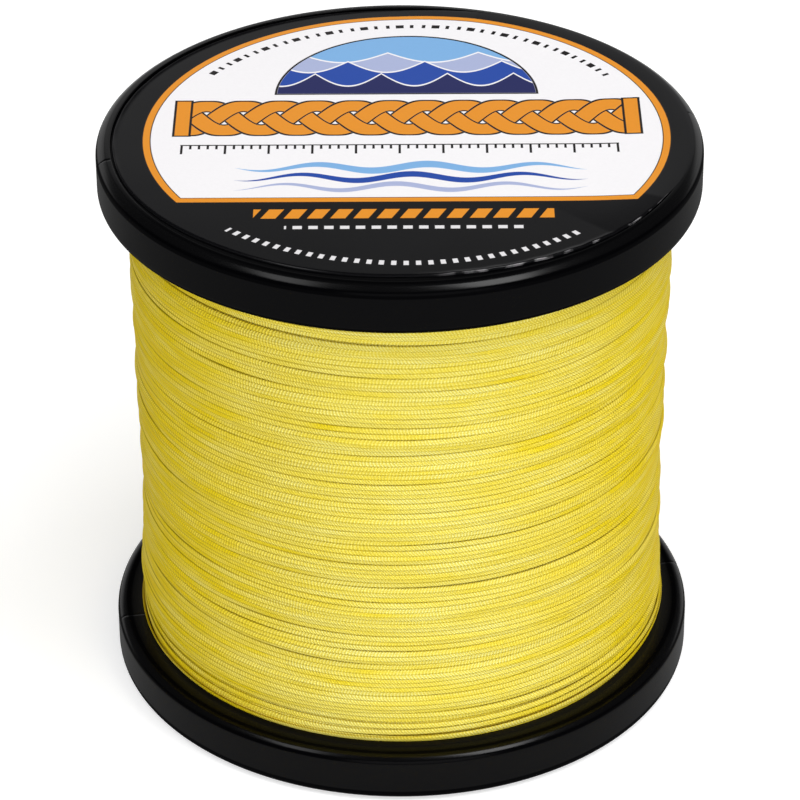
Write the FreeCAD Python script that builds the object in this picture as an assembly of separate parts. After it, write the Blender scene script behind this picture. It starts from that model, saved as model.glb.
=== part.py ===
import FreeCAD, Part
import math
import os

# Bulk spool of braided fishing line: two moulded flanges snapped on a tubular
# barrel, the line wound between them, a label in each flange and two bits of tape.
# Millimetres. The spool's axis is Z and its lower rim stands on z = 0.

# Spool as a whole
SPOOL_HEIGHT = 83.2
FLANGE_RADIUS = 42.0
FLANGE_THICKNESS = 7.25

# Flange moulding
FLANGE_WEB = 2.2
RIM_WALL = 2.4
RIM_EDGE_ROUND = 1.1
RIM_LIP_ROUND = 0.25
LEDGE_WIDTH = 1.4
RIB_COUNT = 12
RIB_THICKNESS = 1.6

# Spindle bore and its boss, which stands out on the barrel's side of the web
BORE_RADIUS = 6.25
BORE_CHAMFER = 0.5
BOSS_WALL = 2.75
BOSS_REACH = 12.0

# Barrel, and the plug ring, snap ridge and keys that hold a flange on it
BARREL_RADIUS = 19.0
BARREL_WALL = 1.8
PLUG_CLEARANCE = 0.1
PLUG_WALL = 2.0
PLUG_HEIGHT = 9.0
PLUG_CHAMFER = 0.6
SNAP_FROM_END = 3.0
SNAP_RISE = 0.4
SNAP_HALF_WIDTH = 0.8
SNAP_CLEARANCE = 0.1
KEY_COUNT = 2
KEY_WIDTH = 4.0
KEY_LENGTH = 3.0
KEY_SETBACK = 0.5
KEY_CLEARANCE = 0.1

# Labels
LABEL_THICKNESS = 0.3
LABEL_RECESS = 0.35
LABEL_EDGE_GAP = 0.2
LABEL_HOLE_MARGIN = 1.25

# Wound line: how far it stays below the rim, how much it is drawn in at half
# height, and the band of line that one loop of the outer layer stands for
PACK_BELOW_RIM = 3.7
PACK_WAIST = 0.5
TURN_DIAMETER = 2.2
TURN_GAP = 0.5
MOST_LOOPS = 24
LAYER_GAP = 0.05
TURN_END_GAP = 0.2
DIVE_RADIUS = 2.4
DIVE_ANGLE = 90.0
DIVE_CLEARANCE = 0.2
LEAST_TURN_GAP = 0.4

# Tapes: one holds the line's start on the barrel, one its free end on the turns.
# Each is lifted by the film of glue under it.
START_TAPE_WIDTH = 18.0
START_TAPE_ARC = 75.0
START_TAPE_THICKNESS = 0.15
START_TAPE_FROM_WEB = 12.0
START_TAPE_LIFT = 0.05
START_TAPE_CLEARANCE = 0.05
END_TAPE_WIDTH = 12.0
END_TAPE_ARC = 36.0
END_TAPE_THICKNESS = 0.1
END_TAPE_FROM_WEB = 0.5
END_TAPE_LIFT = 0.02

# Places worked out from the sizes above
PACK_BOTTOM = FLANGE_THICKNESS
PACK_TOP = SPOOL_HEIGHT - FLANGE_THICKNESS
PACK_RADIUS = FLANGE_RADIUS - PACK_BELOW_RIM
BOSS_RADIUS = BORE_RADIUS + BOSS_WALL
BARREL_BORE = BARREL_RADIUS - BARREL_WALL
PLUG_RADIUS = BARREL_BORE - PLUG_CLEARANCE
SNAP_HEIGHT = FLANGE_THICKNESS + PLUG_HEIGHT - SNAP_FROM_END
LABEL_SEAT = LABEL_RECESS + LABEL_THICKNESS
LABEL_POCKET_RADIUS = FLANGE_RADIUS - RIM_WALL
LABEL_RADIUS = LABEL_POCKET_RADIUS - LABEL_EDGE_GAP
LABEL_HOLE_RADIUS = BORE_RADIUS + LABEL_HOLE_MARGIN

AXIS = FreeCAD.Vector(0, 0, 1)
ORIGIN = FreeCAD.Vector(0, 0, 0)


def at(radius, z):
    """Point of a turned profile, in the XZ plane."""
    return FreeCAD.Vector(radius, 0, z)


def line(start, end):
    """Straight edge between two points."""
    return Part.LineSegment(start, end).toShape()


def tangent_arc(start, corner, end):
    """Arc from start to end whose end tangents meet at corner, halfway between them."""
    middle = (start + end) * 0.5
    leg = start.distanceToPoint(corner)
    half_turn = math.acos(start.distanceToPoint(middle) / leg)
    rise = leg * (1 - math.cos(half_turn)) / math.tan(half_turn)
    towards = (corner - middle).normalize()
    return Part.Arc(start, middle + towards * rise, end).toShape()


def turned(edges, degrees=360):
    """Solid made by turning a closed profile in the XZ plane about the axis."""
    face = Part.Face(Part.Wire(edges))
    return face.revolve(ORIGIN, AXIS, degrees)


def turned_polygon(points, degrees=360):
    """Solid turned from the corners of a straight-sided profile."""
    ends = points[1:] + points[:1]
    return turned([line(a, b) for a, b in zip(points, ends)], degrees)


def ring(inner, outer, bottom, top, degrees=360):
    """Plain ring, or a sector of one, between two radii and two heights."""
    return turned_polygon([at(inner, bottom), at(outer, bottom), at(outer, top), at(inner, top)], degrees)


def flange_profile():
    """Edges of the flange's turned body: label side on z = 0, barrel side up."""
    inner_face = FLANGE_THICKNESS
    pocket_floor = FLANGE_THICKNESS - FLANGE_WEB
    ledge_radius = LABEL_POCKET_RADIUS - LEDGE_WIDTH
    lip = LABEL_POCKET_RADIUS + RIM_LIP_ROUND
    rim = FLANGE_RADIUS - RIM_EDGE_ROUND
    plug_top = inner_face + PLUG_HEIGHT
    plug_bore = PLUG_RADIUS - PLUG_WALL
    boss_top = inner_face + BOSS_REACH
    label_side = [
        at(BORE_RADIUS, LABEL_SEAT + BORE_CHAMFER),
        at(BORE_RADIUS + BORE_CHAMFER, LABEL_SEAT),
        at(BOSS_RADIUS, LABEL_SEAT),
        at(BOSS_RADIUS, pocket_floor),
        at(ledge_radius, pocket_floor),
        at(ledge_radius, LABEL_SEAT),
        at(LABEL_POCKET_RADIUS, LABEL_SEAT),
        at(LABEL_POCKET_RADIUS, RIM_LIP_ROUND),
    ]
    barrel_side = [
        at(rim, inner_face),
        at(PLUG_RADIUS, inner_face),
        at(PLUG_RADIUS, plug_top - PLUG_CHAMFER),
        at(PLUG_RADIUS - PLUG_CHAMFER, plug_top),
        at(plug_bore, plug_top),
        at(plug_bore, inner_face),
        at(BOSS_RADIUS, inner_face),
        at(BOSS_RADIUS, boss_top),
        at(BORE_RADIUS, boss_top),
        label_side[0],
    ]
    edges = [line(a, b) for a, b in zip(label_side, label_side[1:])]
    edges.append(tangent_arc(label_side[-1], at(LABEL_POCKET_RADIUS, 0), at(lip, 0)))
    edges.append(line(at(lip, 0), at(rim, 0)))
    edges.append(tangent_arc(at(rim, 0), at(FLANGE_RADIUS, 0), at(FLANGE_RADIUS, RIM_EDGE_ROUND)))
    edges.append(line(at(FLANGE_RADIUS, RIM_EDGE_ROUND), at(FLANGE_RADIUS, inner_face - RIM_EDGE_ROUND)))
    edges.append(
        tangent_arc(
            at(FLANGE_RADIUS, inner_face - RIM_EDGE_ROUND),
            at(FLANGE_RADIUS, inner_face),
            at(rim, inner_face),
        )
    )
    edges += [line(a, b) for a, b in zip(barrel_side, barrel_side[1:])]
    return edges


def flange_ribs():
    """Radial ribs and the ring under the barrel that carry the label and stiffen the web."""
    overlap = RIB_THICKNESS / 4
    depth = FLANGE_THICKNESS - FLANGE_WEB / 2 - LABEL_SEAT
    start = BOSS_RADIUS - overlap
    reach = LABEL_POCKET_RADIUS - LEDGE_WIDTH + overlap - start
    ribs = [ring(BARREL_BORE, BARREL_RADIUS, LABEL_SEAT, LABEL_SEAT + depth)]
    for number in range(RIB_COUNT):
        rib = Part.makeBox(reach, RIB_THICKNESS, depth, FreeCAD.Vector(start, -RIB_THICKNESS / 2, LABEL_SEAT))
        rib.rotate(ORIGIN, AXIS, 360 / RIB_COUNT * number)
        ribs.append(rib)
    return ribs


def snap_section(root_radius, rise, half_width):
    """Ring of diamond section: the plug's ridge, or the groove cut for it."""
    return turned_polygon(
        [
            at(root_radius, SNAP_HEIGHT - half_width),
            at(root_radius + rise, SNAP_HEIGHT),
            at(root_radius, SNAP_HEIGHT + half_width),
            at(root_radius - rise, SNAP_HEIGHT),
        ]
    )


def key_blocks(clearance, inner_radius, outer_radius):
    """Blocks from the web into the barrel's end: the flange's keys, or the notches for them."""
    width = KEY_WIDTH + 2 * clearance
    blocks = []
    for number in range(KEY_COUNT):
        corner = FreeCAD.Vector(inner_radius, -width / 2, FLANGE_THICKNESS)
        block = Part.makeBox(outer_radius - inner_radius, width, KEY_LENGTH + clearance, corner)
        block.rotate(ORIGIN, AXIS, 360 / KEY_COUNT * number)
        blocks.append(block)
    return blocks


def lower_flange():
    """Flange moulding as it stands under the barrel."""
    body = turned(flange_profile())
    ridge = snap_section(PLUG_RADIUS, SNAP_RISE, SNAP_HALF_WIDTH)
    keys = key_blocks(0, PLUG_RADIUS - PLUG_WALL / 2, BARREL_RADIUS - KEY_SETBACK)
    return body.fuse(flange_ribs() + [ridge] + keys).removeSplitter()


def turned_over(shape):
    """The same moulding at the other end of the spool."""
    copy = shape.copy()
    copy.rotate(FreeCAD.Vector(0, 0, SPOOL_HEIGHT / 2), FreeCAD.Vector(1, 0, 0), 180)
    return copy


def hub_barrel():
    """Tube between the flanges, with a snap groove and key notches at each end."""
    tube = ring(BARREL_BORE, BARREL_RADIUS, PACK_BOTTOM, PACK_TOP)
    groove = snap_section(
        BARREL_BORE,
        SNAP_RISE - PLUG_CLEARANCE + SNAP_CLEARANCE,
        SNAP_HALF_WIDTH + SNAP_CLEARANCE,
    )
    cuts = [groove] + key_blocks(KEY_CLEARANCE, BARREL_BORE - BARREL_WALL, BARREL_RADIUS + BARREL_WALL)
    return tube.cut(cuts + [turned_over(cut) for cut in cuts])


def label(hole_radius=None):
    """Printed disc on the lower flange's ledge and ribs, with or without a spindle hole."""
    disc = Part.makeCylinder(LABEL_RADIUS, LABEL_THICKNESS, FreeCAD.Vector(0, 0, LABEL_RECESS))
    if hole_radius is None:
        return disc
    return disc.cut(Part.makeCylinder(hole_radius, SPOOL_HEIGHT))


def pack_radius(z):
    """Outer radius of the winding at a height, drawn in along a parabola."""
    half = (PACK_TOP - PACK_BOTTOM) / 2
    from_middle = (z - SPOOL_HEIGHT / 2) / half
    return PACK_RADIUS - PACK_WAIST * (1 - from_middle ** 2)


def pack_slope(z):
    """Change of the winding's radius with height."""
    half = (PACK_TOP - PACK_BOTTOM) / 2
    return 2 * PACK_WAIST * (z - SPOOL_HEIGHT / 2) / half ** 2


def side_curve(bottom, top, offset):
    """The parabola of the winding's side between two heights, moved out by offset."""
    half = (top - bottom) / 2
    corner = at(pack_radius(bottom) + pack_slope(bottom) * half + offset, bottom + half)
    curve = Part.BezierCurve()
    curve.setPoles([at(pack_radius(bottom) + offset, bottom), corner, at(pack_radius(top) + offset, top)])
    return curve.toShape()


def strip_on_side(bottom, top, inner_offset, outer_offset, degrees):
    """Solid between two curves along the winding's side, turned through an angle."""
    inner = side_curve(bottom, top, inner_offset)
    outer = side_curve(bottom, top, outer_offset)
    lower = line(at(pack_radius(bottom) + inner_offset, bottom), at(pack_radius(bottom) + outer_offset, bottom))
    upper = line(at(pack_radius(top) + outer_offset, top), at(pack_radius(top) + inner_offset, top))
    return turned([lower, outer, upper, inner], degrees)


def loop_count():
    """Loops of the outer layer that the barrel has room for."""
    room = PACK_TOP - PACK_BOTTOM - TURN_DIAMETER - 2 * TURN_END_GAP
    return min(MOST_LOOPS, int(room / (TURN_DIAMETER + TURN_GAP)))


def first_loop_height():
    """Height of the outer layer's centre line where it starts."""
    return PACK_BOTTOM + TURN_END_GAP + TURN_DIAMETER / 2


def last_loop_height():
    """Height of the outer layer's centre line where it ends."""
    return PACK_TOP - TURN_END_GAP - TURN_DIAMETER / 2


def coil_point(turns):
    """Point and unit tangent of the outer layer's centre line after some turns."""
    pitch = (last_loop_height() - first_loop_height()) / loop_count()
    z = first_loop_height() + pitch * turns
    radius = pack_radius(z) - TURN_DIAMETER / 2
    angle = math.radians(DIVE_ANGLE) + 2 * math.pi * turns
    outward = FreeCAD.Vector(math.cos(angle), math.sin(angle), 0)
    along = FreeCAD.Vector(-math.sin(angle), math.cos(angle), 0)
    climb = pitch / (2 * math.pi)
    tangent = outward * (pack_slope(z) * climb) + along * radius + AXIS * climb
    return outward * radius + AXIS * z, tangent.normalize(), outward


def biarc(start, start_tangent, end, end_tangent):
    """Two arcs that join two points smoothly, each with the tangent asked for."""
    chord = end - start
    spread = chord.dot(start_tangent + end_tangent)
    bend = 2 * (1 - start_tangent.dot(end_tangent))
    reach = (math.sqrt(spread ** 2 + bend * chord.dot(chord)) - spread) / bend
    first_corner = start + start_tangent * reach
    second_corner = end - end_tangent * reach
    joint = (first_corner + second_corner) * 0.5
    return [tangent_arc(start, first_corner, joint), tangent_arc(joint, second_corner, end)]


def dive(turns, direction):
    """Foot, bend start and bend corner of the end of the layer that goes into the core."""
    point, tangent, outward = coil_point(turns)
    corner = point - tangent * (direction * DIVE_RADIUS)
    bend_start = corner - outward * DIVE_RADIUS
    foot = bend_start - outward * TURN_DIAMETER
    return foot, bend_start, corner


def coil_path():
    """Unbroken centre line of the outer layer, from one end in the core to the other."""
    loops = loop_count()
    first = coil_point(0)[0]
    last = coil_point(loops)[0]
    foot, bend_start, corner = dive(0, 1)
    edges = [line(foot, bend_start), tangent_arc(bend_start, corner, first)]
    for quarter in range(4 * loops):
        start, start_tangent, _ = coil_point(quarter / 4)
        end, end_tangent, _ = coil_point((quarter + 1) / 4)
        edges += biarc(start, start_tangent, end, end_tangent)
    foot, bend_start, corner = dive(loops, -1)
    edges += [tangent_arc(last, corner, bend_start), line(bend_start, foot)]
    return Part.Wire(edges)


def least_gap(path):
    """Smallest gap between neighbouring loops of the tube, measured on points of its path."""
    points_per_turn = 72
    length_per_turn = 2 * math.pi * (PACK_RADIUS - TURN_DIAMETER / 2)
    step = length_per_turn / points_per_turn
    points = path.discretize(Number=int(path.Length / step))
    nearest = min(
        points[i].distanceToPoint(points[j])
        for i in range(len(points))
        for j in range(i + points_per_turn // 2, min(i + 2 * points_per_turn, len(points)))
    )
    return nearest - TURN_DIAMETER


def line_outer_turns():
    """Outer layer of the winding: one unbroken tube whose ends go into the core."""
    path = coil_path()
    start = path.Edges[0].firstVertex().Point
    direction = path.Edges[0].tangentAt(path.Edges[0].FirstParameter)
    section = Part.Wire(Part.Circle(start, direction, TURN_DIAMETER / 2).toShape())
    tube = path.makePipeShell([section], True, False)
    expected = math.pi * TURN_DIAMETER ** 2 / 4 * path.Length
    gap = least_gap(path)
    print("outer turns: loops", loop_count(), "least gap", round(gap, 3), "mm")
    print("outer turns: volume over section times length", round(tube.Volume / expected, 5))
    if gap < LEAST_TURN_GAP:
        raise ValueError("the loops of the outer layer lie too close")
    return tube


def dive_notch(turns, direction):
    """Notch in the core for the end of the outer layer, open to the flange beside it."""
    foot, _, corner = dive(turns, direction)
    angle = DIVE_ANGLE + 360 * turns
    half = TURN_DIAMETER / 2 + DIVE_CLEARANCE
    outward = FreeCAD.Vector(math.cos(math.radians(angle)), math.sin(math.radians(angle)), 0)
    floor_radius = foot.dot(outward)
    depth = corner.dot(outward) + TURN_DIAMETER - floor_radius
    length = DIVE_RADIUS + 2 * half
    height = TURN_END_GAP + TURN_DIAMETER + DIVE_CLEARANCE
    side = -DIVE_RADIUS - half if direction > 0 else -half
    bottom = PACK_BOTTOM if direction > 0 else PACK_TOP - height
    notch = Part.makeBox(depth, length, height, FreeCAD.Vector(floor_radius, side, bottom))
    notch.rotate(ORIGIN, AXIS, angle)
    return notch


def start_tape(growth=0.0):
    """Tape on the barrel over the line's start; growth makes the recess for it."""
    bottom = PACK_BOTTOM + START_TAPE_FROM_WEB - growth
    top = bottom + START_TAPE_WIDTH + 2 * growth
    arc = START_TAPE_ARC + 2 * math.degrees(growth / BARREL_RADIUS)
    inner = BARREL_RADIUS + START_TAPE_LIFT
    tape = ring(inner - growth, inner + START_TAPE_THICKNESS + growth, bottom, top, arc)
    tape.rotate(ORIGIN, AXIS, DIVE_ANGLE - arc / 2)
    return tape


def line_core():
    """Inner mass of the winding, on the barrel and under the outer layer."""
    under_layer = TURN_DIAMETER + LAYER_GAP
    side = side_curve(PACK_BOTTOM, PACK_TOP, -under_layer)
    bore = BARREL_RADIUS + LAYER_GAP
    bottom = [at(bore, PACK_BOTTOM), at(pack_radius(PACK_BOTTOM) - under_layer, PACK_BOTTOM)]
    top = [at(pack_radius(PACK_TOP) - under_layer, PACK_TOP), at(bore, PACK_TOP)]
    solid = turned([line(*bottom), side, line(*top), line(top[1], bottom[0])])
    loops = loop_count()
    cuts = [dive_notch(0, 1), dive_notch(loops, -1), start_tape(START_TAPE_CLEARANCE)]
    return solid.cut(cuts)


def end_tape():
    """Clear tab over the free end, high on the back of the winding."""
    top = PACK_TOP - END_TAPE_FROM_WEB
    tape = strip_on_side(
        top - END_TAPE_WIDTH, top, END_TAPE_LIFT, END_TAPE_LIFT + END_TAPE_THICKNESS, END_TAPE_ARC
    )
    tape.rotate(ORIGIN, AXIS, DIVE_ANGLE - END_TAPE_ARC / 2)
    return tape


def make_parts():
    """Every node's shape by name."""
    flange = lower_flange()
    return {
        "lower_flange": flange,
        "upper_flange": turned_over(flange),
        "hub_barrel": hub_barrel(),
        "top_label": turned_over(label()),
        "bottom_label": label(LABEL_HOLE_RADIUS),
        "line_core": line_core(),
        "line_outer_turns": line_outer_turns(),
        "start_tape": start_tape(),
        "end_tape": end_tape(),
    }


os.makedirs("parts", exist_ok=True)
for name, shape in make_parts().items():
    if len(shape.Solids) != 1 or not shape.isValid():
        raise ValueError(name + " is not one valid solid")
    shape.Solids[0].exportStep("parts/" + name + ".step")
    print(name, "volume", round(shape.Volume, 1), "mm3")
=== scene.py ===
"""Bulk spool of braided fishing line: two moulded flanges, the winding, a label in each end and two tapes.

Blender's lengths are metres. Sizes written down here are millimetres, as in the part's own drawing,
and MM turns them into metres where a mesh is made.
"""

import logging
import math
from collections.abc import Callable, Sequence
from dataclasses import dataclass
from enum import Enum

import bpy
import numpy as np
from mathutils import Matrix


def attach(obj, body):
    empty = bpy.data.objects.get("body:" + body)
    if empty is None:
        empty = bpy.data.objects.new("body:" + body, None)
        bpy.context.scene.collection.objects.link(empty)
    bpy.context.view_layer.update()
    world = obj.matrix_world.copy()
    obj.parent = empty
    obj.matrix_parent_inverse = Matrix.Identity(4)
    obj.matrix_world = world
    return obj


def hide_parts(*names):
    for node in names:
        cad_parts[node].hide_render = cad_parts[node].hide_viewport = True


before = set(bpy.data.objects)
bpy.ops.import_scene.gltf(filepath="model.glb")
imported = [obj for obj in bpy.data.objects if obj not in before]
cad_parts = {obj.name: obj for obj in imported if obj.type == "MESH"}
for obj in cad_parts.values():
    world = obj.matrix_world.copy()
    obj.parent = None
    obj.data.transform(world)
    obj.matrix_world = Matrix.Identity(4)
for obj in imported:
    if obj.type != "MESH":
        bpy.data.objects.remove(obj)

LOG = logging.getLogger("line_spool")
MM = 0.001
BODY = "root"
TURN = 2 * math.pi

# Height of the whole spool, in millimetres.
HEIGHT = 83.2

Profile = list[tuple[float, float]]
Colour = tuple[float, float, float]
Socket = bpy.types.NodeSocket
Sockets = dict[str | int, object]
Material = bpy.types.Material
Piece = bpy.types.Object


class End(Enum):
    """The two ends of the spool."""

    LOWER = "lower"
    UPPER = "upper"


class Deck(Enum):
    """The layers of line that are modelled strand by strand."""

    UNDER = "under"
    OUTER = "outer"


def linear(red: int, green: int, blue: int) -> Colour:
    """Turns a screen colour of 0 to 255 into Blender's linear one."""
    shares = (red / 255, green / 255, blue / 255)
    return tuple(s / 12.92 if s <= 0.04045 else ((s + 0.055) / 1.055) ** 2.4 for s in shares)


def operator(operation: str, swapped: bool = False) -> Callable[..., "Value"]:
    """Makes a Python operator that adds one Math node.

    Args:
        operation: The node's operation.
        swapped: Whether the other term comes first.

    Returns:
        The operator, to be a method of Value.
    """

    def applied(value: "Value", other: "Value | float") -> "Value":
        """Adds the node."""
        terms = (other, value) if swapped else (value, other)
        return value.tree.math(operation, *terms)

    return applied


class Value:
    """A number socket that Python's operators work on, each adding one Math node."""

    __add__ = __radd__ = operator("ADD")
    __mul__ = __rmul__ = operator("MULTIPLY")
    __sub__ = operator("SUBTRACT")
    __rsub__ = operator("SUBTRACT", swapped=True)
    __truediv__ = operator("DIVIDE")
    __pow__ = operator("POWER")
    __gt__ = operator("GREATER_THAN")
    __lt__ = operator("LESS_THAN")
    __mod__ = operator("FLOORED_MODULO")

    def __init__(self, tree: "Tree", socket: Socket) -> None:
        """Wraps an output socket of a tree."""
        self.tree = tree
        self.socket = socket

    def __abs__(self) -> "Value":
        """Absolute value."""
        return self.tree.math("ABSOLUTE", self)

    def off(self, middle: float, half: "Value | float") -> "Value":
        """Distance to a band given by its middle and half its width, negative within it."""
        return abs(self - middle) - half


class Tree:
    """Adds nodes to one material or geometry tree."""

    def __init__(self, tree: bpy.types.NodeTree) -> None:
        """Starts from an empty tree."""
        self.tree = tree
        tree.nodes.clear()

    def feed(self, socket: Socket, value: object) -> None:
        """Links a value to an input, or sets the input to a constant."""
        if isinstance(value, Value):
            value = value.socket
        if isinstance(value, Socket):
            self.tree.links.new(value, socket)
        else:
            socket.default_value = value

    def node(self, kind: str, sockets: Sockets | None = None, **settings: object) -> bpy.types.Node:
        """Adds one node.

        Args:
            kind: The node's type.
            sockets: Values or links of its inputs, by name or number.
            settings: Its own settings, which are set first.

        Returns:
            The node.
        """
        made = self.tree.nodes.new(kind)
        for name, value in settings.items():
            setattr(made, name, value)
        for name, value in (sockets or {}).items():
            self.feed(made.inputs[name], value)
        return made

    def output(self, kind: str, sockets: Sockets | None = None, **settings: object) -> Socket:
        """Adds one node and gives its first output."""
        return self.node(kind, sockets, **settings).outputs[0]

    def math(self, operation: str, *terms: "Value | float", clamp: bool = False) -> Value:
        """Adds a Math node, whose result is kept between 0 and 1 where clamp is set."""
        settings = {"operation": operation, "use_clamp": clamp}
        return Value(self, self.output("ShaderNodeMath", dict(enumerate(terms)), **settings))

    def most(self, first: Value, *others: Value) -> Value:
        """The greatest of some distances, which is negative only where all of their shapes overlap."""
        for other in others:
            first = self.math("MAXIMUM", first, other)
        return first

    def far(self, x: Value, y: Value) -> Value:
        """Distance of a point from the middle of a plane."""
        return self.math("SQRT", x * x + y * y)

    def turn(self, x: Value, y: Value) -> Value:
        """Direction of a point from the middle of a plane, in degrees."""
        return self.math("ARCTAN2", y, x) * (180 / math.pi)

    def ramp(self, value: Value, gain: float, start: float) -> Value:
        """Value times gain plus start, kept between 0 and 1."""
        return self.math("MULTIPLY_ADD", value, gain, start, clamp=True)

    def inside(self, distance: Value, soft: float) -> Value:
        """1 where a distance is negative and 0 outside, with a soft edge of the given width."""
        return self.ramp(distance, -1.0 / soft, 0.5)

    def blend(self, first: object, second: object, share: "Value | float") -> Socket:
        """Mixes two colours by a share from 0 to 1."""
        pair = [(*c, 1.0) if isinstance(c, tuple) else c for c in (first, second)]
        made = self.node("ShaderNodeMix", {0: share, 6: pair[0], 7: pair[1]}, data_type="RGBA")
        return made.outputs[2]

    def noise(
        self, scale: float, detail: float = 2.0, along: "Value | Socket | None" = None, rough: float = 0.5
    ) -> Value:
        """Noise on Object coordinates, or on one value where along is given, near 0 to 1.

        Args:
            scale: Cells for each metre, or for each unit of along.
            detail: Octaves.
            along: A number socket for noise along a line, or a vector socket.
            rough: Weight of the finer octaves.

        Returns:
            The noise.
        """
        line = isinstance(along, Value)
        source = {"W": along} if line else {"Vector": self.place() if along is None else along}
        sockets = {"Scale": scale, "Detail": detail, "Roughness": rough, **source}
        made = self.node("ShaderNodeTexNoise", sockets, noise_dimensions="1D" if line else "3D")
        return Value(self, made.outputs["Fac"])

    def place(self) -> Socket:
        """The point's Object coordinates, in metres."""
        return self.node("ShaderNodeTexCoord").outputs["Object"]

    def place_mm(self) -> tuple[Value, Value, Value]:
        """The point's Object coordinates as three numbers, in millimetres."""
        parts = self.node("ShaderNodeSeparateXYZ", {0: self.place()})
        return tuple(Value(self, out) * (1 / MM) for out in parts.outputs)

    def attribute(self, name: str) -> Value:
        """A number stored on the mesh."""
        return Value(self, self.node("ShaderNodeAttribute", attribute_name=name).outputs["Fac"])

    def stretched(self, x: float, y: float, z: float) -> Socket:
        """Object coordinates scaled apart along each axis."""
        return self.node("ShaderNodeMapping", {"Vector": self.place(), "Scale": (x, y, z)}).outputs["Vector"]

    def bump(self, height: Value, depth: float, strength: float) -> Socket:
        """Normal of a surface raised by height times a depth in metres."""
        sockets = {"Height": height, "Distance": depth, "Strength": strength}
        return self.node("ShaderNodeBump", sockets).outputs["Normal"]

    def surface(self, **sockets: object) -> None:
        """Ends the material in one Principled shader, whose inputs are given with _ for a space."""
        named = {name.replace("_", " "): value for name, value in sockets.items()}
        shader = self.node("ShaderNodeBsdfPrincipled", named)
        self.node("ShaderNodeOutputMaterial", {"Surface": shader.outputs[0]})

    def seen(self) -> Value:
        """1 for the rays that show a background: seen, mirrored or through glass."""
        path = self.node("ShaderNodeLightPath")
        rays = [Value(self, path.outputs[f"Is {kind} Ray"]) for kind in ("Camera", "Glossy", "Transmission")]
        return self.math("ADD", rays[0] + rays[1], rays[2], clamp=True)


@dataclass(frozen=True)
class Finish:
    """A surface, whose material is made the first time that it is asked for."""

    name: str = "plain"

    def material(self) -> Material:
        """The finish's material."""
        made = bpy.data.materials.get(self.name)
        if made is None:
            made = bpy.data.materials.new(self.name)
            made.use_nodes = True
            self.shade(Tree(made.node_tree))
        return made

    def shade(self, tree: Tree) -> None:
        """Builds the material's nodes."""
        raise NotImplementedError


@dataclass(frozen=True)
class BlackPlastic(Finish):
    """Moulded black plastic with shoulders polished glossier by handling, fine scuffs, a little dust, and a
    painted reflection of the yellow winding on the flanges' inner faces.
    """

    name: str = "moulded_black"
    body: Colour = linear(3, 3, 4)
    scuffed: Colour = linear(12, 12, 14)
    dust: Colour = linear(150, 150, 150)
    # Painted reflection of the yellow winding, on the flanges' inner faces beside it
    painted_reflection: Colour = linear(24, 23, 19)
    rough: float = 0.42
    gloss: float = 0.1
    shoulder_gloss: float = 0.46
    land_gloss: float = 0.38
    dull: float = 0.75
    gloss_rough: float = 0.2
    middle_mm: float = 41.6
    inner_face_mm: float = 34.35
    rim_mm: float = 40.7
    land_mm: float = 40.3
    ledge_mm: float = 38.4
    notch_mm: float = 40.35
    inner_mm: float = 39.3

    def shade(self, tree: Tree) -> None:
        """Builds the plastic, with scuffs in patches and specks of dust."""
        broad = tree.noise(60.0, 3.0)
        fine = tree.noise(900.0)
        lines = tree.noise(1.0, 4.0, tree.stretched(1500.0, 1500.0, 5000.0), 0.7)
        scuff = tree.math("MULTIPLY", (lines - 0.62) * 6.0, (broad - 0.35) * 2.0, clamp=True)
        cells = tree.node("ShaderNodeTexVoronoi", {"Vector": tree.place(), "Scale": 260.0}, feature="F1")
        near = Value(tree, cells.outputs["Distance"])
        chance = Value(tree, tree.node("ShaderNodeSeparateColor", {0: cells.outputs["Color"]}).outputs[0])
        speck = tree.inside(near - 0.022, 0.012) * (chance > 0.93)
        bright, flat, land, inner = self.zones(tree)
        # The inner faces take the painted reflection's colour, under the scuffs
        colour = tree.blend(tree.blend(self.body, self.painted_reflection, inner), self.scuffed, scuff)
        coat = self.gloss * (1.0 - flat * self.dull) + bright * (self.shoulder_gloss - self.gloss)
        coat = coat + (land + inner * 0.7) * (self.land_gloss - self.gloss)
        tree.surface(
            Base_Color=tree.blend(colour, self.dust, speck * 0.6),
            Roughness=self.rough + broad * 0.08 + scuff * 0.15 + speck * 0.3,
            Specular_IOR_Level=0.0,
            Coat_Weight=coat * (0.94 + broad * 0.12) * (1.0 - scuff * 0.4) * (1.0 - speck * 0.8),
            Coat_Roughness=self.gloss_rough,
            Normal=tree.bump(fine * 0.5 + broad * 2.0 + lines * 0.15, 0.000012, 0.5),
        )

    def zones(self, tree: Tree) -> tuple[Value, Value, Value, Value]:
        """Masks: polished shoulders, the dull bands beside them, land with ledge, and inner face, which
        carries the painted reflection.
        """
        x, y, z = tree.place_mm()
        far = tree.far(x, y)
        rim = tree.inside(self.rim_mm - far, 0.3)
        height = abs(z - self.middle_mm)
        below = self.middle_mm - height
        behind = height - self.inner_face_mm
        bright = tree.inside(below.off(0.36, 0.36), 0.2) + tree.inside(behind.off(0.2, 0.2), 0.12)
        flat = tree.inside(below.off(1.22, 0.46), 0.16) + tree.inside(behind.off(0.7, 0.2), 0.12)
        land = tree.inside(far.off(self.land_mm, 0.32), 0.15) * tree.inside(below - 0.3, 0.1)
        ledge = tree.inside(far - self.ledge_mm, 0.3) * tree.inside(below.off(0.6, 0.25), 0.1)
        face = tree.inside(abs(behind) - 0.1, 0.1)
        inner = tree.inside(far - self.inner_mm, 1.6) * face
        notch = tree.inside(far.off(self.notch_mm, 0.4), 0.3) * face
        return bright * rim, flat * rim + notch, land * tree.ramp(y, 1 / 15, 1.67) + ledge, inner


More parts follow.
